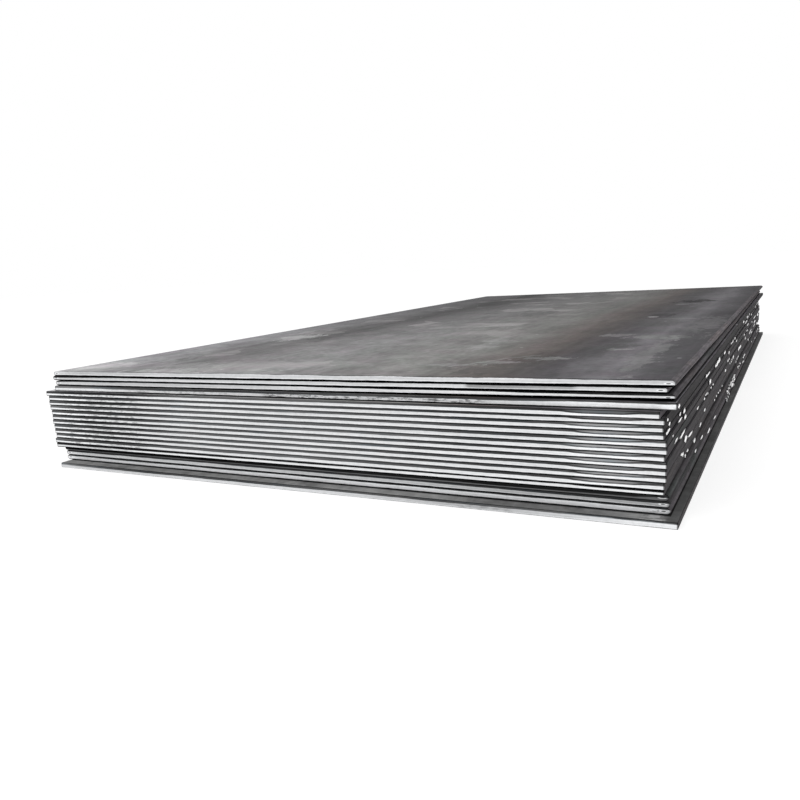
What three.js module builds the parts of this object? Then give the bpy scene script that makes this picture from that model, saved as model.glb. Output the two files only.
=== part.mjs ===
import * as THREE from 'three';

// A stack of hot-rolled steel plates of one size, lying flat on one another.
//
// Millimetres. +X runs across the plates, +Y along them and +Z up. The origin is on the floor, under the
// middle of the stack's box. The near cut ends face -Y.

// The plate that the stack is made of.
const PLATE_WIDTH = 1500;
const PLATE_LENGTH = 3000;
const PLATE_THICKNESS = 12;

// Loose scale keeps two plates that lie on one another this far apart.
const PLATE_GAP = 0.3;

// Both ends are cut across, and the flat cut keeps a small round arris on all its sides.
const END_ARRIS = 2;
const END_ARRIS_STEPS = 2;

// A long edge rounds off over a reach in from the side and a rise from the flat face. One that is left as
// rolled bulges over the whole thickness, and one that is trimmed keeps a flat cut between two arrises.
const ROLLED_EDGE = { reach: 9, rise: PLATE_THICKNESS / 2 };
const TRIMMED_EDGE = { reach: 2.5, rise: 2.5 };
const LONG_EDGE_STEPS = 3;

// The lifts that the stack was built up from, the lowest first, and the plates in each from the bottom up.
// A plate lies off the stack's middle by so much across and along, and a turned one by so many degrees.
const LIFTS = [
  {
    edge: TRIMMED_EDGE,
    plates: [{ across: 21, along: -10 }],
  },
  {
    edge: ROLLED_EDGE,
    plates: [
      { across: 5, along: 24 },
      { across: 4, along: 24 },
      { across: 3, along: 22 },
    ],
  },
  {
    edge: TRIMMED_EDGE,
    plates: [
      { across: -9, along: 7, turn: 0.2 },
      { across: -2, along: 1 },
      { across: 1, along: 3 },
      { across: 1, along: 1 },
      { across: 2, along: 0 },
      { across: -1, along: 0 },
      { across: 3, along: -2 },
      { across: 2, along: -2 },
      { across: -2, along: -1 },
      { across: -3, along: -1 },
      { across: -1, along: -2 },
      { across: 1, along: -7, turn: -0.3 },
    ],
  },
  {
    edge: TRIMMED_EDGE,
    plates: [{ across: 17, along: 6 }],
  },
  {
    edge: ROLLED_EDGE,
    plates: [
      { across: 8, along: 16, turn: 0.2 },
      { across: 2, along: 16 },
      { across: 15, along: 10 },
    ],
  },
];

// Mill scale on steel.
const SCALE_COLOUR = 0x626266;
const SCALE_ROUGHNESS = 0.55;
const SCALE_METALNESS = 0.8;

// The plate's section across its width, centred on the origin, with all four corners rounded off alike.
function sectionShape({ reach, rise }) {
  const x = PLATE_WIDTH / 2 - reach;
  const y = PLATE_THICKNESS / 2 - rise;
  const quarter = Math.PI / 2;
  const shape = new THREE.Shape();
  shape.absellipse(x, -y, reach, rise, -quarter, 0);
  shape.absellipse(x, y, reach, rise, 0, quarter);
  shape.absellipse(-x, y, reach, rise, quarter, 2 * quarter);
  shape.absellipse(-x, -y, reach, rise, 2 * quarter, 3 * quarter);
  return shape;
}

// The section run along +Y, from one cut end to the other, centred on the origin.
function plateGeometry(edge) {
  const straight = PLATE_LENGTH - 2 * END_ARRIS;
  const geometry = new THREE.ExtrudeGeometry(sectionShape(edge), {
    depth: straight,
    curveSegments: LONG_EDGE_STEPS,
    bevelEnabled: true,
    bevelThickness: END_ARRIS,
    bevelSize: END_ARRIS,
    bevelOffset: -END_ARRIS,
    bevelSegments: END_ARRIS_STEPS,
  });
  geometry.translate(0, 0, -straight / 2);
  geometry.rotateX(Math.PI / 2);
  return geometry;
}

function makePlate(level, edge, { across, along, turn = 0 }) {
  const material = new THREE.MeshStandardMaterial({
    color: SCALE_COLOUR,
    roughness: SCALE_ROUGHNESS,
    metalness: SCALE_METALNESS,
  });
  const plate = new THREE.Mesh(plateGeometry(edge), material);
  plate.name = `plate_${String(level + 1).padStart(2, '0')}`;
  plate.position.set(across, along, PLATE_THICKNESS / 2 + level * (PLATE_THICKNESS + PLATE_GAP));
  plate.rotation.z = THREE.MathUtils.degToRad(turn);
  return plate;
}

function makeStack() {
  const stack = new THREE.Group();
  for (const { edge, plates } of LIFTS) {
    for (const place of plates) {
      stack.add(makePlate(stack.children.length, edge, place));
    }
  }
  const middle = new THREE.Box3().setFromObject(stack, true).getCenter(new THREE.Vector3());
  stack.position.set(-middle.x, -middle.y, 0);
  return stack;
}

export default makeStack();
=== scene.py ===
"""The looks of a stack of hot-rolled steel plates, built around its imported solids.

+X runs across the plates, +Y along them and +Z up, and the near cut ends face -Y. Values are in metres,
places in tables are in mm, and greys and colours are what they are on a screen, from 0 to 255.
A finely meshed plate with uneven edges replaces each plate of the frame. It has three materials: mill
scale on its flat faces, bare sheared metal on its two ends, and darker scale along its two sides. One more
mesh holds the torn flakes of the right side.
"""

import math
from functools import cached_property

import bpy
import numpy as np
from mathutils import Matrix, Vector

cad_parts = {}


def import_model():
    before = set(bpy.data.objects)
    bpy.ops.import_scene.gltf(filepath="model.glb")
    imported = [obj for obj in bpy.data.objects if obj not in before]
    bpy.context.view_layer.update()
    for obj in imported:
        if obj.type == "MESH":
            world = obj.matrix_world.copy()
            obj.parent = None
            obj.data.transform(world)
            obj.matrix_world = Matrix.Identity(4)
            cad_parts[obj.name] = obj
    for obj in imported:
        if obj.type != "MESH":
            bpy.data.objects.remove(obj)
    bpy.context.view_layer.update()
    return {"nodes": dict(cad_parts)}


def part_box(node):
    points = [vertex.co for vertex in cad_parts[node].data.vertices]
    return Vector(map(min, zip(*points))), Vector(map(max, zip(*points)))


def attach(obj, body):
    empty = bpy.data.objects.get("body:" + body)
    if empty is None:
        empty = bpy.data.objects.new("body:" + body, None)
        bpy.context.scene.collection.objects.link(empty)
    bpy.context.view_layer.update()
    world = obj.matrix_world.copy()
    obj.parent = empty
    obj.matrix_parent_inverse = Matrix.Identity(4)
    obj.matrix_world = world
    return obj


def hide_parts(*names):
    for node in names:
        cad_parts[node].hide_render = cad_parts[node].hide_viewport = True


MM = 0.001

# The camera stands low off the near right corner and looks along the stack to its far left.
CAMERA_AT = (0.9356, -2.7596, 0.453)
CAMERA_TURN = math.radians(28.32)
CAMERA_DIP = math.radians(10.03)
CAMERA_ROLL = math.radians(-3.59)
CAMERA_LENS = 33.9
CAMERA_SENSOR = 36.0
CAMERA_CLIP = 0.05

# The lamps, each with its width and height as its size and its power in watts, and the light all round.
LAMPS = {
    "key": {"place": (-1.5, -5.0, 3.5), "aim": (0, 0, 0), "size": (4, 3), "power": 120},
    "side": {"place": (5.0, -0.5, 1.5), "aim": (0.7, -0.5, 0.1), "size": (3, 2), "power": 55},
}
SOFT_LIGHT = 0.75

# The floor lies a little below the stack. A white glow covers this share of it for the camera.
FLOOR_HALF = 40.0
FLOOR_GAP = 0.5 * MM
FLOOR_GREY = 246
FLOOR_GLOW = 1.22
FLOOR_GLOW_SHARE = 0.6

# Plates are numbered from the floor up. Rolled ones have bulging sides, trimmed ones have flat sides. The
# plates of the top lift were sheared the other way up.
BOTTOM_PLATE = 1
MAIN_LIFT_TOP = 16
TOP_LIFT_START = 18
TOP_PLATE = 20
ROLLED_PLATES = (2, 3, 4, 18, 19, 20)

# The rings of points that go round a plate, from its upper face down to its lower one.
ARRIS_RINGS = 4
FACE_RINGS = 4
RINGS = 2 * ARRIS_RINGS + FACE_RINGS

# How many points a ring has along the near end, the right side, the far end and the left side.
SIDE_POINTS = (320, 240, 160, 160)

# The edges of a plate: how far its corners are cut off, how far a rolled side bulges and how round a trimmed
# one is. A sheared end has a wide arris where the blade pressed in, and a narrow one where it broke out.
CORNER_CHAMFER = 1.0 * MM
ROLLED_REACH = 9 * MM
TRIMMED_ARRIS = 1.2 * MM
WIDE_ARRIS = 2.6 * MM
NARROW_ARRIS = 1.3 * MM

# How far the edges are worn back: everywhere, and in a slow and a fine swing of (step, size).
WEAR = 0.3 * MM
SLOW_WEAR = (0.22, 0.15 * MM)
FINE_WEAR = (0.03, 0.1 * MM)

# The UV map that textures can be baked to, in shares of it: where the underside and the upper face start and
# how tall they are. The strips of the four edges lie above them.
MAP_REACH = 0.49
MAP_UNDER = (0.005, 0.3)
MAP_TOP = (0.32, 0.46)
MAP_STRIP_STEP = 0.05
MAP_STRIP_TALL = 0.042
MAP_CORNER_WIDE = 0.004

# The cut ends, across each plate: (place, lowest and greatest height of the bare metal) in mm, then the
# grey of the bare metal, of the arris above it and of the arris below it. The arris greys hold painted light
# and shade, and the arris below is mostly painted nearly black as the shade of the gap under it. LIFT_END is
# for the plates that ENDS doesn't name, and each of them has it shifted by up to LIFT_END_SHIFT mm.
LIFT_END_SHIFT = 10
LIFT_END = (
    (-750, 2.1, 5.8, 238, 100, 75),
    (-660, 1.9, 6.0, 242, 66, 45),
    (-590, 2.1, 6.2, 218, 62, 40),
    (-475, 2.0, 6.8, 217, 66, 45),
    (-300, 2.0, 7.2, 217, 102, 92),
    (100, 1.9, 7.5, 216, 102, 92),
    (475, 1.5, 7.6, 220, 74, 50),
    (586, 1.5, 7.4, 222, 78, 36),
    (596, 1.5, 6.2, 234, 116, 20),
    (625, 1.4, 5.2, 242, 152, 15),
    (690, 1.4, 5.4, 240, 146, 15),
    (720, 1.4, 7.1, 224, 116, 25),
)
ENDS = {
    20: (
        (-750, 3.0, 11.4, 216, 150, 10),
        (-640, 3.1, 11.4, 184, 140, 10),
        (-400, 2.9, 11.3, 193, 126, 10),
        (200, 2.9, 11.2, 197, 96, 10),
        (500, 3.2, 11.0, 206, 64, 10),
        (680, 3.6, 10.3, 192, 62, 10),
    ),
    19: (
        (-750, 3.0, 7.3, 202, 44, 10),
        (-500, 2.5, 8.5, 202, 44, 10),
        (388, 2.8, 9.9, 209, 32, 10),
        (396, 3.0, 9.4, 148, 28, 10),
        (588, 3.2, 8.6, 166, 24, 10),
        (600, 3.2, 9.3, 207, 24, 10),
    ),
    18: (
        (-750, 2.7, 9.2, 200, 40, 10),
        (-400, 2.9, 10.6, 194, 90, 10),
        (-200, 2.9, 10.8, 200, 88, 10),
        (0, 3.0, 10.2, 207, 46, 10),
        (520, 4.4, 8.8, 236, 24, 10),
        (700, 4.8, 8.3, 222, 30, 10),
    ),
    17: (
        (-750, 1.0, 7.0, 234, 146, 70),
        (-560, 1.6, 7.4, 230, 110, 50),
        (-440, 2.3, 7.4, 208, 72, 20),
        (0, 1.9, 8.0, 204, 76, 10),
        (430, 1.6, 8.1, 216, 76, 10),
        (600, 1.6, 9.1, 242, 96, 100),
        (700, 1.7, 9.0, 242, 96, 105),
    ),
    5: (
        (-750, 2.3, 6.0, 226, 56, 10),
        (-560, 2.3, 6.3, 198, 44, 10),
        (-440, 2.4, 6.7, 224, 48, 10),
        (200, 2.4, 7.6, 230, 42, 10),
        (585, 2.4, 7.3, 234, 34, 10),
        (620, 2.4, 6.2, 241, 20, 10),
    ),
    # Plate 4's bare metal is painted dark: the shade of the plate above, which stands out over its end.
    4: (
        (-750, 0.8, 2.6, 98, 24, 10),
        (200, 0.8, 3.4, 106, 46, 10),
        (690, 0.8, 3.2, 100, 46, 10),
        (725, 0.8, 5.5, 106, 70, 10),
    ),
    3: (
        (-750, 1.7, 8.0, 212, 60, 20),
        (-300, 1.7, 8.4, 214, 88, 20),
        (300, 1.7, 8.2, 204, 70, 20),
        (700, 1.5, 7.4, 176, 56, 10),
    ),
    2: (
        (-750, 1.9, 8.4, 236, 56, 10),
        (-300, 1.9, 8.9, 246, 70, 10),
        (300, 1.8, 9.3, 246, 70, 10),
        (700, 1.7, 9.2, 236, 60, 10),
    ),
    1: (
        (-750, 0.8, 7.4, 204, 112, 10),
        (-440, 0.8, 6.7, 204, 76, 10),
        (0, 0.8, 7.3, 216, 88, 10),
        (420, 0.8, 7.8, 178, 84, 10),
        (600, 0.8, 8.6, 208, 104, 10),
        (700, 0.8, 8.7, 228, 108, 10),
    ),
}

# How light the upper arris of the main lift's top plate is, beside that of the plates below it: painted
# shade from the plate above.
MAIN_LIFT_TOP_ARRIS_SHADE = 0.8

# How those values wander along an end, as (step in metres, size). The arris's size is a share of its grey.
LOW_WANDER = (0.05, 0.2)
HIGH_WANDER = (0.07, 0.45)
METAL_WANDER = (0.4, 5)
ARRIS_WANDER = (0.15, 0.15)
LIGHTEST_METAL = 250

# Smudged stretches of those ends, which fade in over SMUDGE_FADE mm: (plate, or 0 for those of LIFT_END,
# from and to in mm, strength).
SMUDGE_FADE = 30
SMUDGES = (
    (0, -720, -430, 0.5),
    (17, -500, -140, 0.4),
    (17, -90, 440, 0.8),
    (17, 745, 790, 0.7),
    (5, -670, -480, 0.3),
    (4, 720, 770, 0.6),
    (3, 700, 770, 0.5),
    (2, 700, 770, 0.5),
    (1, 330, 500, 0.3),
)

# The fold near each rolled corner of a cut end: how far in it is, in mm, and the share of the thickness that
# it goes up for each mm that it goes across.
SEAM_INSET = 11.0
SEAM_FLATNESS = 0.022

# How light the scale on a plate's long sides is, if it isn't 1. This is partly the plate's own tone and
# partly painted light and shade, such as plate 16's lighter side under the overhang of plate 17.
SIDE_SHADE = {
    20: 2.1, 19: 2.5, 18: 1.6, 17: 0.5, 16: 2.0, 15: 0.5, 14: 0.48, 13: 0.8,
    12: 0.9, 4: 1.1, 3: 0.8, 2: 1.7, 1: 1.25,
}

# Torn flakes on the right side, in rows along the plates: (place along in mm, plate that the row is on or a
# share of the way to the next one, length of the row and its height in mm, how many flakes).
FLAKE_ROWS = (
    (-1490, 17, 20, 9, 1),
    (-1488, 15, 12, 4, 1),
    (-1482, 13.3, 46, 5, 1),
    (-1474, 14.3, 12, 8, 1),
    (-1445, 12, 8, 2, 1),
    (-1415, 10.8, 40, 6, 1),
    (-1366, 12.9, 36, 3, 1),
    (-1340, 7.2, 16, 5, 1),
    (-1340, 13.3, 20, 8, 1),
    (-1350, 10.4, 70, 8, 1),
    (-1322, 6.8, 12, 8, 1),
    (-1298, 9.2, 34, 28, 1),
    (-1306, 12.2, 24, 12, 1),
    (-1288, 13.3, 28, 22, 1),
    (-1268, 5.5, 12, 8, 1),
    (-1256, 6.1, 20, 3, 1),
    (-1220, 8.1, 50, 5, 1),
    (-1149, 3.9, 20, 3, 1),
    (-1156, 6.1, 22, 16, 1),
    (-1074, 10, 36, 4, 1),
    (-1034, 4, 44, 9, 1),
    (-1010, 6, 40, 5, 1),
    (-966, 8, 24, 6, 1),
    (-914, 10, 100, 13, 4),
    (-900, 3, 68, 8, 1),
    (-905, 13.2, 34, 18, 1),
    (-870, 12.5, 34, 26, 1),
    (-866, 13.4, 80, 10, 1),
    (-816, 10, 20, 6, 1),
    (-766, 10, 20, 6, 1),
    (-756, 3, 40, 7, 1),
    (-654, 13, 156, 16, 3),
    (-640, 13, 100, 20, 2),
    (-615, 6, 230, 5, 5),
    (-456, 9, 26, 8, 1),
    (-445, 2.3, 18, 5, 1),
    (-442, 13, 50, 12, 2),
    (-400, 2, 100, 14, 4),
    (-390, 2, 18, 5, 1),
    (-375, 3.3, 90, 26, 8),
    (-338, 12, 50, 12, 2),
    (-326, 10, 72, 8, 3),
    (-250, 9, 130, 8, 4),
    (-215, 2.4, 30, 14, 1),
    (-215, 3, 190, 36, 34),
    (-190, 9.1, 40, 18, 1),
    (-185, 13, 100, 12, 4),
    (-151, 4, 24, 12, 1),
    (-62, 13, 46, 8, 2),
    (-36, 12, 46, 7, 1),
    (50, 6, 140, 12, 6),
    (70, 4, 130, 14, 7),
    (78, 9, 130, 16, 3),
    (92, 9, 90, 16, 2),
    (255, 3, 60, 10, 3),
    (340, 13.6, 56, 28, 1),
    (390, 5, 64, 8, 2),
    (400, 9, 64, 11, 2),
    (466, 13, 64, 7, 2),
    (552, 10, 70, 12, 3),
    (720, 14, 70, 8, 2),
    (792, 4, 30, 6, 1),
    (854, 13, 74, 8, 2),
    (936, 5, 150, 20, 5),
    (948, 11, 74, 8, 2),
    (1010, 9.6, 80, 24, 1),
    (1160, 14, 70, 10, 2),
    (1285, 9.4, 110, 28, 1),
)

# The ranges of the same values for more rows, at random on the far half of that side. The upper numbers of
# plates and flakes aren't reached.
FAR_ROWS = 22
FAR_ROW_PLACES = (300, 1460)
FAR_ROW_PLATES = (3, 15)
FAR_ROW_LENGTHS = (30, 130)
FAR_ROW_HEIGHTS = (4, 14)
FAR_ROW_FLAKES = (1, 7)

# A row of few flakes has slivers, which grow with the row's height, and a row of more has crumbs.
MOST_SLIVERS = 3
SLIVER_OVERLAP = 1.2
LOWEST_SLIVER = 3.4 * MM
SLIVER_GROWTH = 0.3
TALLEST_SLIVER = 12 * MM
CRUMB_LENGTH = 18 * MM
CRUMB_HEIGHT = 5.5 * MM
ROW_JITTER = 0.25
FLAKE_SIZES = (0.7, 1.25)

# A flake has an outer and an inner ring of corners, and a root in the plate at its middle.
FLAKE_SEED = 7
FLAKE_CORNERS = 12
FLAKE_UNEVEN = 0.15
FLAKE_REACH = (0.5, 1.2)
FLAKE_INNER = 0.55
FLAKE_LEAN = 0.05
FLAKE_CURL = (0.15, 0.5)
MOST_CURL = 2.5 * MM
FLAKE_STANDS_OFF = 0.2 * MM
FLAKE_ROOT = 0.6 * MM
FLAKE_THICKNESS = 0.5 * MM

# The noise on a plate's ends and sides is moved by up to this much.
MOST_SEED = 20

# Bands of mill scale along the top: (place across in mm, grey at the near end, grey at the far end). The
# near greys are lighter partly from painted sheen, most at the near left. The ramps of the bands reach
# BAND_REACH mm to each side.
BAND_REACH = 780
BANDS = (
    (-770, 174, 92), (-640, 164, 88), (-520, 140, 84), (-420, 118, 44), (-280, 138, 78),
    (-100, 148, 98), (60, 135, 100), (240, 136, 102), (380, 106, 90), (470, 78, 70),
    (540, 80, 68), (640, 114, 97), (700, 83, 73), (730, 78, 64), (770, 66, 50),
)

# The bottom plate's own bands, where it stands out from under the plate above: (place across in mm, grey).
BOTTOM_BANDS = (
    (-770, 134), (-200, 138), (150, 148), (330, 144), (450, 122), (640, 134), (700, 136),
    (735, 116), (748, 84), (766, 90), (775, 90),
)

# The tints of the top's bands: (place across in mm, red, green, blue) to multiply by, as shares of 255.
BAND_TINTS = (
    (-770, 250, 250, 255), (-400, 255, 252, 254), (-100, 255, 254, 255), (300, 255, 254, 250),
    (420, 255, 240, 235), (475, 255, 243, 243), (535, 253, 245, 255), (600, 251, 247, 254),
    (770, 251, 246, 255),
)

# Marks on the top: (place across, place along, reach across, reach along) in mm, grey, strength.
MARKS = (
    (-500, -1050, 55, 240, 100, 0.5),
    # This one is a painted highlight: the glint on the near left corner of the top.
    (-680, -1390, 90, 70, 196, 0.5),
    (-370, -1475, 120, 50, 184, 0.6),
    (-390, -1410, 90, 80, 160, 0.4),
    (-460, -600, 105, 230, 84, 0.65),
    (-510, -745, 68, 88, 176, 0.7),
    (-420, 700, 60, 500, 80, 0.4),
    (80, -480, 80, 70, 144, 0.3),
    (60, 0, 70, 110, 84, 0.5),
    (240, -950, 40, 140, 152, 0.4),
    (430, -1385, 110, 80, 66, 0.4),
    (545, -1130, 40, 110, 60, 0.35),
    (290, -1340, 80, 16, 146, 0.6),
    (380, -1300, 60, 18, 136, 0.6),
    (470, -1240, 50, 22, 124, 0.6),
    (590, -1095, 30, 22, 140, 0.6),
    (520, -800, 40, 30, 120, 0.6),
    (600, -850, 55, 35, 128, 0.6),
    (640, -840, 90, 50, 104, 0.5),
    (665, -1150, 25, 280, 126, 0.5),
    (560, -1010, 45, 120, 72, 0.5),
    (575, -450, 60, 160, 80, 0.5),
    (540, -205, 50, 70, 44, 0.6),
    (560, 440, 62, 90, 20, 0.8),
    (560, 20, 50, 120, 66, 0.5),
    (705, -520, 50, 230, 128, 0.25),
    (510, 180, 75, 40, 66, 0.5),
    (520, -258, 18, 20, 150, 0.6),
    (600, 1440, 150, 60, 56, 0.6),
    (540, 290, 45, 40, 118, 0.5),
    (505, 1000, 45, 330, 64, 0.55),
)

# Scratches on the top: (across and along where it starts, across and along where it ends) in mm, grey.
SCRATCHES = (
    (300, -1368, 342, -1307, 150),
    (342, -1307, 377, -1245, 144),
    (377, -1245, 440, -1185, 128),
    (455, -1274, 487, -1213, 122),
    (487, -1213, 519, -1251, 122),
    (549, -336, 660, -348, 132),
    (-52, -299, 35, -360, 92),
    (35, -360, 155, -346, 96),
)
SCRATCH_WIDTH = 5 * MM
SCRATCH_FADE = 4 * MM

# Where a look sets in, across the stack: it is absent up to the first place and full from the second.
PATCHES_FROM = (0.3, 0.1)
TORN_LINES_FROM = (0.575, 0.595)
SCUFFS_FROM = (0.7, 0.71)
SCUFFS_TO = (0.75, 0.74)
RIGHT_LEDGES_FROM = (0.745, 0.752)

# The same along the stack.
NEAR_BANDS_FROM = (1.9, -2.2)
FADED_SIDES_FROM = (-0.5, 0.9)
RUST_FROM = (-0.8, -0.2)

# The same for the shade of the plate above, before its near end and beside it.
SHADE_BEFORE = (8 * MM, 2 * MM)
SHADE_BESIDE = (0.5 * MM, 0.0)


def add_object(name, data):
    """A new object in the scene for a mesh, a lamp or a camera."""
    thing = bpy.data.objects.new(name, data)
    bpy.context.scene.collection.objects.link(thing)
    return thing


# ---------------------------------------------------------------- plates


def wander(rng, run, step, size):
    """A smooth random line along run, with a new value every step and swings of about size."""
    knots = np.arange(run.min() - step, run.max() + 2 * step, step)
    return np.interp(run, knots, rng.uniform(-size, size, len(knots)))


def cut_profile(thickness, top, bottom):
    """Insets and heights of the rings of a flat cut between an upper and a lower round arris."""
    turn = np.linspace(0, math.pi / 2, ARRIS_RINGS)
    face = np.linspace(thickness - top, bottom, FACE_RINGS + 2)[1:-1]
    inset = np.concatenate([top * (1 - np.sin(turn)), 0 * face, bottom * (1 - np.sin(turn[::-1]))])
    height = np.concatenate(
        [thickness - top * (1 - np.cos(turn)), face, bottom * (1 - np.cos(turn[::-1]))]
    )
    return inset, height


def rolled_profile(thickness):
    """Insets and heights of the rings of an edge that bulges over the whole thickness."""
    turn = np.linspace(0, math.pi, RINGS)
    return ROLLED_REACH * (1 - np.sin(turn)), thickness / 2 * (1 + np.cos(turn))


def edge_profiles(number, thickness):
    """The profiles of a plate's cut ends and of its long sides."""
    end = cut_profile(thickness, WIDE_ARRIS, NARROW_ARRIS)
    if number >= TOP_LIFT_START:
        end = cut_profile(thickness, NARROW_ARRIS, WIDE_ARRIS)
    if number in ROLLED_PLATES:
        return end, rolled_profile(thickness)
    return end, cut_profile(thickness, TRIMMED_ARRIS, TRIMMED_ARRIS)


def plate_place(node):
    """A plate of the frame: its middle, its turn about Z, its half width, half length and thickness."""
    points = np.array([vertex.co for vertex in node.data.vertices])
    middle = (points.max(0) + points.min(0)) / 2
    flat = points[:, :2] - middle[:2]
    spread = flat.T @ flat
    turn = 0.5 * math.atan2(-2 * spread[0, 1], spread[1, 1] - spread[0, 0])
    cos, sin = math.cos(turn), math.sin(turn)
    own = flat @ np.array([[cos, -sin], [sin, cos]])
    half_width, half_length = np.abs(own).max(0)
    return middle, turn, half_width, half_length, np.ptp(points[:, 2])


def plate_rings(rng, number, half_width, half_length, thickness):
    """A plate's points about its own middle, a row to a ring: across, along, height, side and corner.

    Sides count from 0 at the near end, counterclockwise. Corner is how far away its side's nearer end is.
    """
    end, side = edge_profiles(number, thickness)
    halves = (half_width, half_length)
    blocks = []
    for index, count in enumerate(SIDE_POINTS):
        along, away = (end, side) if index % 2 == 0 else (side, end)
        half_run, half_off = halves if index % 2 == 0 else halves[::-1]
        share = np.linspace(-1, 1, count)
        inset = np.interp(along[1], away[1][::-1], away[0][::-1])[:, None]
        half_ring = half_run - CORNER_CHAMFER - inset
        run = share * half_ring
        nominal = share * half_run
        wear = WEAR + wander(rng, nominal, *SLOW_WEAR) + wander(rng, nominal, *FINE_WEAR)
        out = half_off - along[0][:, None] - wear
        height = np.repeat(along[1][:, None], count, 1)
        angle = index * math.pi / 2
        x = run * math.cos(angle) + out * math.sin(angle)
        y = run * math.sin(angle) - out * math.cos(angle)
        blocks.append((x, y, height, np.full(height.shape, index), half_ring - np.abs(run)))
    return [np.concatenate(parts, axis=1) for parts in zip(*blocks)]


def plate_faces(count):
    """The faces of a plate: its two flat faces, and then the quads between each ring and the next."""
    here = np.arange(count)
    there = (here + 1) % count
    faces = [here.tolist(), ((RINGS - 1) * count + here[::-1]).tolist()]
    for ring in range(RINGS - 1):
        top, low = ring * count, (ring + 1) * count
        quads = np.stack([top + here, low + here, low + there, top + there], 1)
        faces += quads.tolist()
    return faces


def plate_mesh(name, points, side):
    """The mesh of a plate. Its first material is for the flat faces, and the next are for ends and sides."""
    faces = plate_faces(len(side))
    mesh = bpy.data.meshes.new(name)
    mesh.from_pydata(points.reshape(-1, 3).tolist(), [], faces)
    slots = np.concatenate([[0, 0], np.tile(1 + side % 2, RINGS - 1)])
    mesh.polygons.foreach_set("material_index", slots.astype(np.int32))
    smooth = np.ones(len(faces), dtype=bool)
    smooth[:2] = False
    mesh.polygons.foreach_set("use_smooth", smooth)
    return mesh


def unwrap(mesh, x, y, height, side, half_width, half_length, thickness):
    """A UV map that textures can be baked to. Its edge strips are far taller than true, and lie in rows."""
    layer = mesh.uv_layers.new(name="OFBake")
    flat_u = 0.5 + MAP_REACH * y / half_length
    flat_v = 0.5 + MAP_REACH * x / half_width
    run = np.where(side % 2 == 0, x / half_width, y / half_length)
    strip_v = 1 - (side + 1) * MAP_STRIP_STEP + MAP_STRIP_TALL * (height / thickness)
    strips = np.stack([0.5 + MAP_REACH * run, strip_v], -1)
    top = np.stack([flat_u[0], MAP_TOP[0] + MAP_TOP[1] * flat_v[0]], -1)
    under = np.stack([flat_u[-1], MAP_UNDER[0] + MAP_UNDER[1] * flat_v[-1]], -1)[::-1]
    here = np.arange(x.shape[1])
    there = (here + 1) % len(here)
    joins = side[0][here] != side[0][there]
    outward = np.where(run[0][here[joins]] > 0, MAP_CORNER_WIDE, -MAP_CORNER_WIDE)
    parts = [top, under]
    for upper, lower in zip(strips, strips[1:]):
        quads = np.stack([upper[here], lower[here], lower[there], upper[there]], 1)
        for corner, match in ((2, 1), (3, 0)):
            quads[joins, corner, 0] = quads[joins, match, 0] + outward
            quads[joins, corner, 1] = quads[joins, match, 1]
        parts.append(quads.reshape(-1, 2))
    layer.data.foreach_set("uv", np.concatenate(parts).astype(np.float32).ravel())


def along_table(table, x):
    """The columns of a table of places across the plate, read at each x."""
    columns = np.array(table).T
    return [np.interp(x / MM, columns[0], column) for column in columns[1:]]


def end_marks(rng, number, x, height):
    """The marks of a cut end at each point: how far it is up the bare metal, three greys, which hold painted
    light and shade, and smudges.
    """
    shift = 0 if number in ENDS else rng.uniform(-LIFT_END_SHIFT, LIFT_END_SHIFT) * MM
    low, high, metal, arris, foot_shade = along_table(ENDS.get(number, LIFT_END), x + shift)
    low = low + wander(rng, x, *LOW_WANDER)
    high = high + wander(rng, x, *HIGH_WANDER)
    metal = metal + wander(rng, x, *METAL_WANDER)
    arris = arris * (1 + wander(rng, x, *ARRIS_WANDER))
    if number == MAIN_LIFT_TOP:
        arris = arris * MAIN_LIFT_TOP_ARRIS_SHADE
    smudge = np.zeros(x.shape)
    for plate, start, stop, strength in SMUDGES:
        if plate == (number if number in ENDS else 0):
            rising = np.clip((x / MM - start) / SMUDGE_FADE, 0, 1)
            falling = np.clip((stop - x / MM) / SMUDGE_FADE, 0, 1)
            smudge = np.maximum(smudge, strength * rising * falling)
    return {
        "rise": (height / MM - low) / (high - low),
        "metal": np.clip(metal, 0, LIGHTEST_METAL) / 255,
        "arris": arris / 255,
        "foot_shade": foot_shade / 255,
        "smudge": smudge,
    }


def cover_lines(above, x, y):
    """Where the plate above ends at each point: its near edge, along, and its left and right, across."""
    middle, turn, half_width, half_length, _ = plate_place(above)
    middle_line = middle[0] - (y - middle[1]) * math.tan(turn)
    return {
        "cover_end": middle[1] - half_length + (x - middle[0]) * math.tan(turn),
        "cover_left": middle_line - half_width,
        "cover_right": middle_line + half_width,
    }


def write_attributes(mesh, shape, attributes):
    """Give a mesh a named number at each point, from an array or from one value for all points."""
    for name, values in attributes.items():
        attribute = mesh.attributes.new(name, "FLOAT", "POINT")
        spread = np.broadcast_to(values, shape).astype(np.float32)
        attribute.data.foreach_set("value", spread.ravel())


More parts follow.
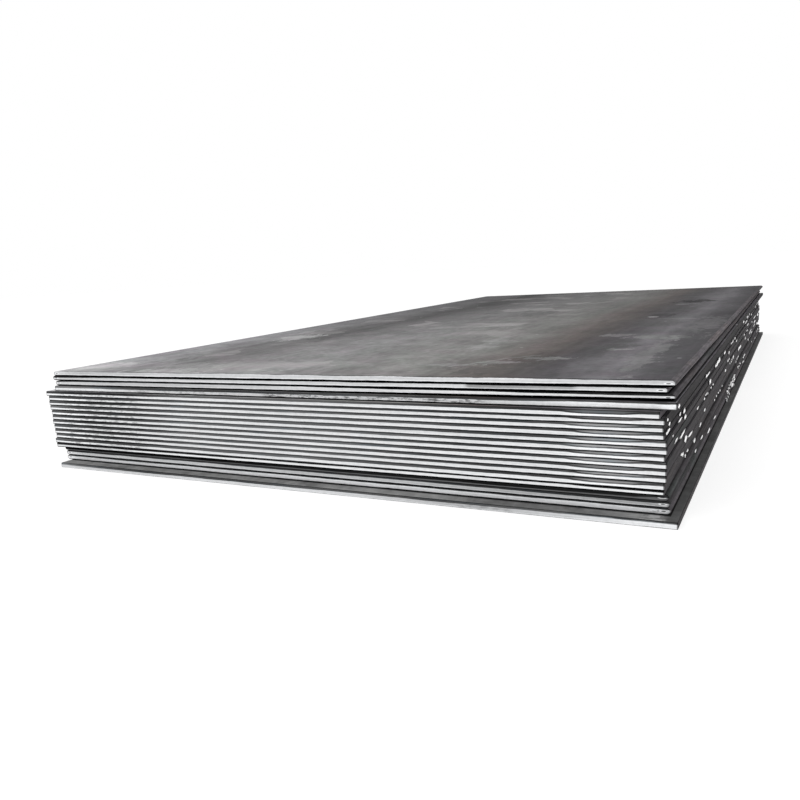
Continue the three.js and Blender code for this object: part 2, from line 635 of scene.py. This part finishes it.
def make_plate(node, above, number, materials):
    """One plate with uneven edges, in the place of a plate of the frame. Gives where its right side is."""
    rng = np.random.default_rng(number)
    middle, turn, half_width, half_length, thickness = plate_place(node)
    x, y, height, side, corner = plate_rings(rng, number, half_width, half_length, thickness)
    cos, sin = math.cos(turn), math.sin(turn)
    points = np.stack([x * cos - y * sin, x * sin + y * cos, height - thickness / 2], -1) + middle
    mesh = plate_mesh(f"steel_{node.name}", points, side[0])
    unwrap(mesh, x, y, height, side, half_width, half_length, thickness)
    attributes = {
        **end_marks(rng, number, points[..., 0], height),
        **cover_lines(above, points[..., 0], points[..., 1]),
        "height": height / thickness,
        "corner": corner / MM,
        "rolled": number in ROLLED_PLATES,
        "number": number,
        "shade": SIDE_SHADE.get(number, 1.0),
        "seed": rng.uniform(0, MOST_SEED),
    }
    write_attributes(mesh, x.shape, attributes)
    for material in materials:
        mesh.materials.append(material)
    plate = add_object(mesh.name, mesh)
    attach(plate, "root")
    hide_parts(node.name)
    return middle[0] + half_width


# ---------------------------------------------------------------- flakes


def add_flake(rng, points, faces, spot, length, tall):
    """A thin torn flake on the right side: an uneven leaf that is stuck at its middle and curls out."""
    angle = np.linspace(0, 2 * math.pi, FLAKE_CORNERS, endpoint=False)
    angle = angle + rng.uniform(-FLAKE_UNEVEN, FLAKE_UNEVEN, FLAKE_CORNERS)
    reach = rng.uniform(*FLAKE_REACH, FLAKE_CORNERS)
    along = 0.5 * length * reach * np.cos(angle)
    up = 0.5 * tall * reach * np.sin(angle)
    lean = rng.uniform(-FLAKE_LEAN, FLAKE_LEAN)
    curl = min(rng.uniform(*FLAKE_CURL) * tall, MOST_CURL)
    base = len(points)
    for scale in (1.0, FLAKE_INNER):
        for a, b in zip(along * scale, up * scale):
            out = curl * scale**2 + FLAKE_STANDS_OFF
            points.append((spot[0] + out, spot[1] + a - b * lean, spot[2] + b + a * lean))
    points.append((spot[0] - FLAKE_ROOT, spot[1], spot[2]))
    inner = base + FLAKE_CORNERS
    middle = inner + FLAKE_CORNERS
    for k in range(FLAKE_CORNERS):
        n = (k + 1) % FLAKE_CORNERS
        faces.append((base + k, base + n, inner + n, inner + k))
        faces.append((inner + k, inner + n, middle))


def add_row(rng, points, faces, spot, length, tall, count):
    """A row along a plate of about this length and height: a few long slivers, or many crumbs."""
    own_length, own_height = CRUMB_LENGTH, CRUMB_HEIGHT
    if count <= MOST_SLIVERS:
        own_length = SLIVER_OVERLAP * length / count
        own_height = min(LOWEST_SLIVER + SLIVER_GROWTH * tall, TALLEST_SLIVER)
    step = (length - own_length) / max(1, count - 1)
    for k in range(count):
        away = (k - (count - 1) / 2) * step + rng.uniform(-ROW_JITTER, ROW_JITTER) * step
        drop = rng.uniform(-0.5, 0.5) * max(0, tall - own_height)
        size = rng.uniform(*FLAKE_SIZES)
        place = (spot[0], spot[1] + away, spot[2] + drop)
        add_flake(rng, points, faces, place, own_length * size, own_height * rng.uniform(*FLAKE_SIZES))


def far_rows(rng):
    """Rows of flakes at random on the far half of the right side, in the form of FLAKE_ROWS."""
    for _ in range(FAR_ROWS):
        place = rng.uniform(*FAR_ROW_PLACES)
        number, count = rng.integers(*FAR_ROW_PLATES), rng.integers(*FAR_ROW_FLAKES)
        yield place, int(number), rng.uniform(*FAR_ROW_LENGTHS), rng.uniform(*FAR_ROW_HEIGHTS), int(count)


def make_flakes(sides, levels, material):
    """All the torn flakes, as one thin mesh on the sides and at the levels of the numbered plates."""
    rng = np.random.default_rng(FLAKE_SEED)
    points, faces = [], []
    for place, number, length, tall, count in [*FLAKE_ROWS, *far_rows(rng)]:
        outer = max(sides[math.floor(number)], sides[math.ceil(number)])
        level = np.interp(number, list(levels), list(levels.values()))
        spot = (outer, place * MM, level)
        add_row(rng, points, faces, spot, length * MM, tall * MM, count)
    mesh = bpy.data.meshes.new("torn_flakes")
    mesh.from_pydata(points, [], faces)
    mesh.polygons.foreach_set("use_smooth", np.ones(len(faces), dtype=bool))
    mesh.materials.append(material)
    flakes = add_object(mesh.name, mesh)
    thicken = flakes.modifiers.new("thicken", "SOLIDIFY")
    thicken.thickness = FLAKE_THICKNESS
    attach(flakes, "root")


# ---------------------------------------------------------------- material tools


def tone(*levels):
    """A shader colour from the grey, or the red, green and blue, that it has on a screen."""
    shares = [level / 255 for level in (levels if len(levels) == 3 else 3 * levels)]
    return [s / 12.92 if s <= 0.04045 else ((s + 0.055) / 1.055) ** 2.4 for s in shares] + [1.0]


class Graph:
    """Short ways to add nodes to a material, in front of its Principled shader, or to a world."""

    def __init__(self, owner):
        owner.use_nodes = True
        self.owner = owner
        self.nodes = owner.node_tree.nodes
        self.links = owner.node_tree.links

    def connect(self, socket, value):
        """Link a socket to another one, or set it to a plain value."""
        if isinstance(value, bpy.types.NodeSocket):
            self.links.new(value, socket)
        else:
            socket.default_value = value

    def add(self, kind, inputs=(), **settings):
        """A new node with these inputs and settings."""
        node = self.nodes.new(kind)
        for name, value in settings.items():
            setattr(node, name, value)
        for key, value in dict(inputs).items():
            self.connect(node.inputs[key], value)
        return node

    def set(self, **values):
        """Set the shader's inputs, which are named with _ for each space."""
        for name, value in values.items():
            self.connect(self.nodes["Principled BSDF"].inputs[name.replace("_", " ")], value)

    def attribute(self, name):
        return self.add("ShaderNodeAttribute", attribute_name=name).outputs["Fac"]

    def math(self, operation, first, second=0.0):
        return self.add("ShaderNodeMath", {0: first, 1: second}, operation=operation).outputs[0]

    def vector(self, operation, first, second):
        return self.add("ShaderNodeVectorMath", {0: first, 1: second}, operation=operation).outputs[0]

    def dot(self, first, second):
        node = self.add("ShaderNodeVectorMath", {0: first, 1: second}, operation="DOT_PRODUCT")
        return node.outputs["Value"]

    @cached_property
    def place(self):
        """The place of each point, in metres."""
        return self.add("ShaderNodeTexCoord").outputs["Object"]

    def part(self, axis):
        """One coordinate of the place."""
        return self.add("ShaderNodeSeparateXYZ", {0: self.place}).outputs[axis]

    def across(self, first, full):
        """A step over the place across the stack."""
        return self.step(self.part(0), first, full)

    def along(self, first, full):
        """A step over the place along the stack."""
        return self.step(self.part(1), first, full)

    def triple(self, value):
        """A colour or a vector with the same value three times."""
        return self.add("ShaderNodeCombineXYZ", {axis: value for axis in range(3)}).outputs[0]

    def own_place(self):
        """The place, moved for each plate by its seed, so that no two plates look alike."""
        return self.vector("ADD", self.place, self.triple(self.attribute("seed")))

    def noise(self, place, scales, detail=3.0, roughness=0.55, distortion=0.0):
        """Noise from 0 to 1, with about as many blots to the metre along each axis as scales says."""
        inputs = {
            "Vector": self.vector("MULTIPLY", place, scales),
            "Scale": 1.0,
            "Detail": detail,
            "Roughness": roughness,
            "Distortion": distortion,
        }
        return self.add("ShaderNodeTexNoise", inputs).outputs["Fac"]

    def sway(self, noise, size):
        """The noise moved to swing about 0, by about size each way."""
        return self.math("MULTIPLY", self.math("SUBTRACT", noise, 0.5), 2 * size)

    def step(self, value, low, high):
        """0 below low and 1 above high, smooth between them. With low above high it falls."""
        flip = low > high
        inputs = {"Value": value, "From Min": min(low, high), "From Max": max(low, high)}
        inputs["To Min"], inputs["To Max"] = (1.0, 0.0) if flip else (0.0, 1.0)
        return self.add("ShaderNodeMapRange", inputs, interpolation_type="SMOOTHSTEP").outputs["Result"]

    def plates_from(self, first):
        """1 on the plates from this number up, else 0."""
        return self.step(self.attribute("number"), first - 0.6, first - 0.4)

    def plates_to(self, last):
        """1 on the plates up to this number, else 0."""
        return self.step(self.attribute("number"), last + 0.6, last + 0.4)

    def sum(self, *values):
        """The values added up."""
        total = values[0]
        for value in values[1:]:
            total = self.math("ADD", total, value)
        return total

    def both(self, *shares):
        """1 where all the shares are 1: their product."""
        total = shares[0]
        for share in shares[1:]:
            total = self.math("MULTIPLY", total, share)
        return total

    def ramp(self, value, stops):
        """A colour that runs with the value through rows of a position and a grey or a colour."""
        node = self.add("ShaderNodeValToRGB", {0: value})
        while len(node.color_ramp.elements) < len(stops):
            node.color_ramp.elements.new(0.5)
        for element, (position, *levels) in zip(node.color_ramp.elements, stops):
            element.position = position
            element.color = tone(*levels)
        return node.outputs["Color"]

    def blend(self, share, first, second, how="MIX"):
        """The second colour over the first one, by this share."""
        node = self.add("ShaderNodeMix", data_type="RGBA", blend_type=how)
        for index, value in ((0, share), (6, first), (7, second)):
            self.connect(node.inputs[index], value)
        return node.outputs[2]

    def paint(self, colour, share, strength, over):
        """The colour with another over it, at this strength where the share is 1."""
        return self.blend(self.math("MULTIPLY", share, strength), colour, over)

    def tint(self, colour, tint):
        return self.blend(1.0, colour, tint, "MULTIPLY")

    def screen_grey(self, level):
        """The grey that has this level, from 0 to 1, on a screen."""
        return self.triple(self.math("POWER", level, 2.2))

    def brighten(self, colour, factor):
        """The colour times a number that may be above 1."""
        return self.vector("MULTIPLY", colour, self.triple(factor))

    def lighten(self, colour, share, amount):
        """The colour made lighter by this part of itself where the share is 1."""
        return self.brighten(colour, self.sum(self.math("MULTIPLY", share, amount), 1.0))

    def vary(self, colour, noise, size):
        """The colour made lighter and darker by the noise, by about this part of itself each way."""
        return self.brighten(colour, self.sum(self.sway(noise, size), 1.0))

    def bump(self, height, distance, strength=1.0):
        inputs = {"Height": height, "Distance": distance, "Strength": strength}
        return self.add("ShaderNodeBump", inputs).outputs["Normal"]


# ---------------------------------------------------------------- mill scale


def band_ramp(graph, across, bands):
    """A ramp over the width from rows of a place in mm and a grey or a colour."""
    share = graph.math("DIVIDE", graph.sum(across, BAND_REACH * MM), 2 * BAND_REACH * MM)
    stops = [((x + BAND_REACH) / (2 * BAND_REACH), *levels) for x, *levels in bands]
    return graph.ramp(share, stops)


def blot(graph, ragged, centre, reach):
    """An uneven oval: 1 near its centre and 0 beyond its reach, both in mm across and along."""
    off = graph.vector("SUBTRACT", graph.place, (centre[0] * MM, centre[1] * MM, 0))
    off = graph.vector("MULTIPLY", off, (1 / (reach[0] * MM), 1 / (reach[1] * MM), 0))
    length = graph.add("ShaderNodeVectorMath", {0: off}, operation="LENGTH").outputs["Value"]
    return graph.step(graph.sum(length, ragged), 1.1, 0.75)


def scratch(graph, ragged, start, end):
    """A thin line: 1 along it and 0 more than its width away, from one place in mm to another."""
    start, end = Vector(start) * MM, Vector(end) * MM
    run = (end - start).normalized()
    half = (end - start).length / 2
    off = graph.vector("SUBTRACT", graph.place, (*((start + end) / 2), 0))
    along = graph.dot(off, (run.x, run.y, 0))
    beside = graph.sum(graph.dot(off, (-run.y, run.x, 0)), ragged)
    near = graph.step(graph.math("ABSOLUTE", beside), SCRATCH_WIDTH, 0.4 * SCRATCH_WIDTH)
    inside = graph.step(graph.math("ABSOLUTE", along), half + SCRATCH_FADE, half - SCRATCH_FADE)
    return graph.both(near, inside)


def flecks(graph, size, rarity):
    """Small scattered spots, about size metres apart, of which only the share 1 - rarity are kept."""
    cells = graph.add("ShaderNodeTexVoronoi", {"Vector": graph.place, "Scale": 1 / size})
    kept = graph.add("ShaderNodeSeparateColor", {0: cells.outputs["Color"]}).outputs[1]
    kept = graph.step(kept, rarity, rarity + 0.01)
    return graph.both(graph.step(cells.outputs["Distance"], 0.2, 0.1), kept)


def bands_and_painted_sheen(graph):
    """The top's bands of scale, which go from their near greys, lighter with painted sheen, to their far
    ones.
    """
    wobble = graph.sway(graph.noise(graph.place, (4, 2, 0), detail=6), 0.07)
    across = graph.sum(graph.part(0), wobble)
    near = band_ramp(graph, across, [(x, level) for x, level, _ in BANDS])
    far = band_ramp(graph, across, [(x, level) for x, _, level in BANDS])
    nearness = graph.math("POWER", graph.along(*NEAR_BANDS_FROM), 1.6)
    colour = graph.blend(nearness, far, near)
    return graph.tint(colour, band_ramp(graph, across, BAND_TINTS))


def add_marks(graph, colour):
    """The colour with the top's marks and scratches over it."""
    ragged = graph.sway(graph.noise(graph.place, (26, 12, 20), detail=7, roughness=0.75), 2.6)
    for x, y, wide, long, level, strength in MARKS:
        share = blot(graph, ragged, (x, y), (wide, long))
        colour = graph.paint(colour, share, strength, tone(level))
    drift = graph.sway(graph.noise(graph.place, (14, 14, 14), detail=3), 10 * MM)
    for x0, y0, x1, y1, level in SCRATCHES:
        share = scratch(graph, drift, (x0, y0), (x1, y1))
        colour = graph.paint(colour, share, 0.7, tone(level))
    return colour


def mottling(graph, clouds, blotches, grain):
    """How light the scale is from place to place, as a factor about 1."""
    streaks = graph.noise(graph.place, (36, 4, 4), detail=5, roughness=0.6)
    swings = ((clouds, 0.45), (blotches, 0.6), (streaks, 0.35), (grain, 0.3))
    return graph.sum(*[graph.sway(noise, size) for noise, size in swings], 1.0)


def add_stains(graph, colour):
    """The colour with faint warm and cool stains."""
    stains = graph.noise(graph.place, (12, 12, 12), detail=4, roughness=0.6)
    tints = graph.ramp(stains, ((0.35, 255, 249, 253), (0.5, 253), (0.65, 250, 254, 251)))
    return graph.tint(colour, tints)


def add_patches(graph, colour, clouds):
    """The colour with angular patches of thinner scale, except at the right, and with small flecks."""
    warp = graph.add("ShaderNodeTexNoise", {"Vector": graph.place, "Scale": 9.0, "Detail": 3.0})
    warped = graph.vector("ADD", graph.place, graph.brighten(warp.outputs["Color"], 0.08))
    cells = graph.add("ShaderNodeTexVoronoi", {"Vector": warped, "Scale": 6.5}, distance="CHEBYCHEV")
    pick = graph.add("ShaderNodeSeparateColor", {0: cells.outputs["Color"]}).outputs[0]
    patch = graph.both(
        graph.step(pick, 0.78, 0.79),
        graph.across(*PATCHES_FROM),
        graph.step(clouds, 0.36, 0.6),
    )
    colour = graph.paint(colour, patch, 0.2, tone(196, 192, 192))
    return graph.paint(colour, flecks(graph, 0.03, 0.96), 0.35, tone(190))


def paint_light_on_ledges(graph, colour):
    """Painted light: the colour lighter below the top lift, and most where a plate stands out to the right,
    to make up for the shade of the plates above.
    """
    ledge = graph.across(*RIGHT_LEDGES_FROM)
    amount = graph.sum(graph.math("MULTIPLY", ledge, 2.2), 0.35)
    return graph.lighten(colour, graph.plates_to(TOP_LIFT_START - 1), amount)


def add_bottom(graph, colour, mottle, blotches):
    """The colour with the bottom plate's own greys, and scuffs near its right corner."""
    own = graph.brighten(band_ramp(graph, graph.part(0), BOTTOM_BANDS), mottle)
    colour = graph.blend(graph.plates_to(BOTTOM_PLATE), colour, own)
    scuffed = graph.both(
        graph.across(*SCUFFS_FROM),
        graph.across(*SCUFFS_TO),
        graph.step(blotches, 0.5, 0.58),
        graph.plates_to(BOTTOM_PLATE),
    )
    return graph.paint(colour, scuffed, 0.5, tone(196))


def shade_under(graph, colour):
    """The colour with a painted shadow: nearly black under the plate above and close before that plate's
    near end.
    """
    before_end = graph.math("SUBTRACT", graph.attribute("cover_end"), graph.part(1))
    left_of = graph.math("SUBTRACT", graph.attribute("cover_left"), graph.part(0))
    right_of = graph.math("SUBTRACT", graph.part(0), graph.attribute("cover_right"))
    beside = graph.math("MAXIMUM", left_of, right_of)
    under = graph.both(
        graph.step(before_end, *SHADE_BEFORE),
        graph.step(beside, *SHADE_BESIDE),
        graph.plates_to(TOP_PLATE - 1),
    )
    return graph.paint(colour, under, 0.9, tone(12))


def mill_scale():
    """Blue-grey scale with bands along the plate, blotches, flakes of thinner scale and stains, and painted
    sheen, light and shade.
    """
    graph = Graph(bpy.data.materials.new("mill_scale"))
    clouds = graph.noise(graph.place, (5, 5, 5), detail=4, roughness=0.6, distortion=0.6)
    blotches = graph.noise(graph.place, (17, 17, 17), detail=7, roughness=0.65, distortion=0.9)
    grain = graph.noise(graph.place, (70, 70, 70), detail=4)
    mottle = mottling(graph, clouds, blotches, grain)
    colour = add_marks(graph, bands_and_painted_sheen(graph))
    colour = add_stains(graph, graph.brighten(colour, mottle))
    colour = add_patches(graph, colour, clouds)
    # Painted light on the ledges of the lower plates.
    colour = paint_light_on_ledges(graph, colour)
    colour = add_bottom(graph, colour, mottle, blotches)
    # Painted shadow of the plate above.
    colour = shade_under(graph, colour)
    graph.set(
        Base_Color=colour,
        Roughness=graph.sum(graph.sway(blotches, 0.2), 0.6),
        Specular_IOR_Level=0.02,
        Normal=graph.bump(grain, 0.3 * MM, 0.4),
    )
    return graph.owner


# ---------------------------------------------------------------- cut ends


def seam_mark(graph, size):
    """A long oval fold near each rolled corner of a cut end, which reaches about size mm each way."""
    off = graph.math("DIVIDE", graph.math("SUBTRACT", graph.attribute("corner"), SEAM_INSET), size)
    middle = graph.math("SUBTRACT", graph.attribute("height"), 0.5)
    up = graph.math("DIVIDE", middle, SEAM_FLATNESS * size)
    away = graph.math("SQRT", graph.sum(graph.math("POWER", off, 2.0), graph.math("POWER", up, 2.0)))
    return graph.both(graph.step(away, 1.1, 0.8), graph.attribute("rolled"))


def sheared_metal(graph, place, rise, lines):
    """Bare metal with fine lines, pits, a bright lower edge, smudges and the folds of rolled edges."""
    level = graph.attribute("metal")
    lower_edge = graph.both(graph.step(rise, 0.34, 0.1), graph.step(level, 0.45, 0.6))
    metal = graph.paint(graph.screen_grey(level), lower_edge, 0.7, tone(240))
    metal = graph.vary(metal, lines, 0.24)
    metal = graph.vary(metal, graph.noise(place, (120, 120, 120), detail=4), 0.14)
    dots = graph.noise(place, (60, 60, 260), detail=5, roughness=0.7)
    smudged = graph.both(graph.step(dots, 0.47, 0.6), graph.attribute("smudge"))
    metal = graph.blend(smudged, metal, tone(66))
    metal = graph.blend(seam_mark(graph, 8.0), metal, tone(236))
    return graph.blend(seam_mark(graph, 4.0), metal, tone(108))


def upper_arris(graph, place, lines, foot_shade):
    """The arris above the bare metal, darker towards its top with painted shade and never darker than the
    one below.
    """
    arris = graph.ramp(graph.attribute("height"), ((0.5, 245), (0.88, 250), (0.94, 190), (1.0, 110)))
    # The arris grey from the table, which holds painted light and shade.
    arris = graph.brighten(arris, graph.math("POWER", graph.attribute("arris"), 2.2))
    arris = graph.vary(arris, lines, 0.5)
    tints = graph.noise(place, (14, 14, 200), detail=3)
    tints = graph.ramp(tints, ((0.38, 253, 251, 250), (0.5, 253), (0.66, 240, 250, 255)))
    arris = graph.tint(arris, tints)
    return graph.blend(1.0, arris, foot_shade, "LIGHTEN")


def torn_lines(graph, place, rise, ragged):
    """1 on two thin uneven lines along the upper arris near the right side, else 0."""
    waves = graph.sway(graph.noise(place, (16, 16, 4), detail=3), 0.3)
    waves = graph.sum(waves, graph.sway(ragged, 0.3))
    off_line = graph.math("ABSOLUTE", graph.math("SUBTRACT", graph.sum(rise, waves), 1.4))
    at_top = graph.step(graph.attribute("height"), 0.84, 0.95)
    lines = graph.math("MAXIMUM", graph.step(off_line, 0.24, 0.14), at_top)
    return graph.both(lines, graph.across(*TORN_LINES_FROM))


def cut_end():
    """Bare sheared metal between two dark arrises, with painted light and shade in the arrises' greys."""
    graph = Graph(bpy.data.materials.new("cut_end"))
    place = graph.own_place()
    ragged = graph.noise(place, (30, 30, 160), detail=6, roughness=0.7)
    lines = graph.noise(place, (9, 9, 700), detail=4)
    rise = graph.sum(graph.attribute("rise"), graph.sway(ragged, 0.14))
    above = graph.step(rise, 0.97, 1.05)
    below = graph.step(rise, 0.05, -0.03)
    # The arris below the bare metal: painted shade of the gap under the end, mostly nearly black.
    foot_shade = graph.screen_grey(graph.attribute("foot_shade"))
    arris = upper_arris(graph, place, lines, foot_shade)
    arris = graph.paint(arris, torn_lines(graph, place, rise, ragged), 0.85, tone(50))
    colour = graph.blend(above, sheared_metal(graph, place, rise, lines), arris)
    colour = graph.blend(below, colour, foot_shade)
    colour = graph.tint(colour, tone(252, 253, 255))
    # Painted shade along the corners of a cut end.
    corner = graph.step(graph.attribute("corner"), 1.6, 0.6)
    colour = graph.paint(colour, corner, 0.8, tone(24))
    bare = graph.both(graph.math("SUBTRACT", 1.0, above), graph.math("SUBTRACT", 1.0, below))
    graph.set(
        Base_Color=colour,
        Roughness=graph.sum(graph.math("MULTIPLY", bare, -0.2), 0.65),
        Metallic=graph.math("MULTIPLY", bare, 0.6),
        Specular_IOR_Level=0.0,
        Normal=graph.bump(lines, 0.4 * MM, 0.5),
    )
    return graph.owner


# ---------------------------------------------------------------- sides


def bulge_light(graph, height):
    """How much lighter a rolled side is painted than its middle line: painted light above that line, and
    more below it, where it makes up for the shade of the side's lower half.
    """
    above = graph.math("MAXIMUM", graph.sway(height, 1.0), 0.0)
    below = graph.math("MAXIMUM", graph.sway(height, -1.0), 0.0)
    above = graph.math("MULTIPLY", graph.math("POWER", above, 2.0), 0.9)
    below = graph.math("MULTIPLY", below, 2.6)
    return graph.both(graph.sum(above, below), graph.attribute("rolled"))


def top_lift_sides(graph, colour, height, blots):
    """The colour, on the top lift darker towards the far end and rusty near its middle, and on the top plate
    darker along the crest of its side with painted shade.
    """
    # Painted shade along the upper part of the top plate's side.
    crest = graph.both(graph.step(height, 0.84, 0.96), graph.plates_from(TOP_PLATE))
    colour = graph.lighten(colour, crest, -0.28)
    lift = graph.plates_from(TOP_LIFT_START)
    colour = graph.lighten(colour, graph.both(lift, graph.along(*FADED_SIDES_FROM)), -0.42)
    rust = graph.both(lift, graph.along(*RUST_FROM), graph.step(blots, 0.45, 0.65))
    return graph.paint(colour, rust, 0.3, tone(86, 67, 68))


def rim_shade(graph, height):
    """Where shade is painted: 1 along the lower edge of a side, and along its upper edge where another plate
    lies on it.
    """
    upper = graph.both(graph.step(height, 0.9, 1.0), graph.plates_to(TOP_PLATE - 1))
    return graph.math("MAXIMUM", graph.step(height, 0.1, 0.02), upper)


def side_scale():
    """Dark scale along the rolled or trimmed sides."""
    graph = Graph(bpy.data.materials.new("side_scale"))
    place = graph.own_place()
    height = graph.attribute("height")
    lines = graph.noise(place, (5, 5, 500), detail=5, roughness=0.65)
    blots = graph.noise(place, (30, 30, 90), detail=5, roughness=0.65)
    tints = ((0.34, 45, 47, 47), (0.46, 51, 48, 51), (0.54, 50, 48, 50), (0.64, 54, 50, 51))
    colour = graph.ramp(graph.noise(place, (4, 4, 12), detail=4), tints)
    colour = graph.brighten(colour, graph.attribute("shade"))
    # Painted light on rolled sides, lighter above and below their middle line.
    colour = graph.brighten(colour, graph.sum(bulge_light(graph, height), 1.0))
    colour = graph.vary(colour, lines, 1.5)
    colour = graph.vary(colour, blots, 0.9)
    colour = top_lift_sides(graph, colour, height, blots)
    # Painted shade along the rims, where a side meets the plate or floor below or the plate above.
    colour = graph.paint(colour, rim_shade(graph, height), 0.65, tone(14))
    graph.set(
        Base_Color=colour,
        Roughness=0.75,
        Specular_IOR_Level=0.1,
        Normal=graph.bump(lines, 0.5 * MM, 0.5),
    )
    return graph.owner


def torn_metal():
    """White torn flakes with a little grey in them."""
    graph = Graph(bpy.data.materials.new("torn_metal"))
    spots = graph.noise(graph.place, (150, 150, 150), detail=3)
    graph.set(Base_Color=graph.ramp(spots, ((0.3, 232), (0.5, 255))), Roughness=0.45, Metallic=0.7)
    return graph.owner


# ---------------------------------------------------------------- stage


def camera_rays(graph):
    """1 for rays that show the surroundings, straight, in a reflection or through glass, else 0."""
    rays = graph.add("ShaderNodeLightPath").outputs
    shown = graph.math("MAXIMUM", rays["Is Camera Ray"], rays["Is Glossy Ray"])
    return graph.math("MAXIMUM", shown, rays["Is Transmission Ray"])


def mix_at(graph, output, share, plain, white):
    """Lead two shaders to an output: white for this share of the rays, and else plain."""
    mix = graph.add("ShaderNodeMixShader", {0: share, 1: plain.outputs[0], 2: white.outputs[0]})
    graph.connect(graph.nodes[output].inputs["Surface"], mix.outputs[0])


def make_world():
    """White all round for the camera and for reflections, and a plain soft light on everything."""
    world = bpy.data.worlds.new("studio")
    bpy.context.scene.world = world
    graph = Graph(world)
    light = graph.nodes["Background"]
    light.inputs["Color"].default_value = (1, 1, 1, 1)
    light.inputs["Strength"].default_value = SOFT_LIGHT
    white = graph.add("ShaderNodeBackground", {"Color": (1, 1, 1, 1), "Strength": 1.0})
    mix_at(graph, "World Output", camera_rays(graph), light, white)


def floor_material():
    """Pale and matt, with a white glow over part of it for the camera, which keeps part of the shadow."""
    graph = Graph(bpy.data.materials.new("floor"))
    graph.set(Base_Color=tone(FLOOR_GREY), Roughness=0.9, Specular_IOR_Level=0.0)
    white = graph.add("ShaderNodeEmission", {"Strength": FLOOR_GLOW})
    share = graph.math("MULTIPLY", camera_rays(graph), FLOOR_GLOW_SHARE)
    mix_at(graph, "Material Output", share, graph.nodes["Principled BSDF"], white)
    return graph.owner


def make_floor():
    """A wide floor, just below the stack."""
    mesh = bpy.data.meshes.new("floor")
    corners = [(x * FLOOR_HALF, y * FLOOR_HALF, 0) for x, y in ((-1, -1), (1, -1), (1, 1), (-1, 1))]
    mesh.from_pydata(corners, [], [(0, 1, 2, 3)])
    mesh.materials.append(floor_material())
    floor = add_object("floor", mesh)
    floor.location.z = -FLOOR_GAP


def make_lamp(name, place, aim, size, power):
    """A soft rectangular lamp, turned to shine from its place at its aim."""
    lamp = bpy.data.lights.new(name, "AREA")
    lamp.shape = "RECTANGLE"
    lamp.size, lamp.size_y = size
    lamp.energy = power
    holder = add_object(name, lamp)
    holder.rotation_euler = (Vector(place) - Vector(aim)).to_track_quat("Z", "Y").to_euler()
    holder.location = place


def make_camera():
    """The camera, turned about Z, dipped below level and rolled about its own axis."""
    camera = bpy.data.cameras.new("camera")
    camera.lens = CAMERA_LENS
    camera.sensor_width = CAMERA_SENSOR
    camera.clip_start = CAMERA_CLIP
    holder = add_object("camera", camera)
    turn = Matrix.Rotation(CAMERA_TURN, 4, "Z")
    dip = Matrix.Rotation(math.pi / 2 - CAMERA_DIP, 4, "X")
    roll = Matrix.Rotation(CAMERA_ROLL, 4, "Z")
    holder.matrix_world = Matrix.Translation(CAMERA_AT) @ turn @ dip @ roll
    bpy.context.scene.camera = holder


# ---------------------------------------------------------------- scene


def make_stack(frame):
    """Every plate and the flakes. The top plate, which nothing covers, is given as its own cover."""
    materials = (mill_scale(), cut_end(), side_scale())
    nodes = [frame["nodes"][name] for name in sorted(frame["nodes"])]
    sides, levels = {}, {}
    for number, (node, above) in enumerate(zip(nodes, [*nodes[1:], nodes[-1]]), start=1):
        low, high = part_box(node.name)
        levels[number] = (low.z + high.z) / 2
        sides[number] = make_plate(node, above, number, materials)
    make_flakes(sides, levels, torn_metal())


def main():
    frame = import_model()
    bpy.context.scene.view_settings.view_transform = "Standard"
    make_camera()
    make_world()
    make_floor()
    for name, lamp in LAMPS.items():
        make_lamp(name, **lamp)
    make_stack(frame)


main()
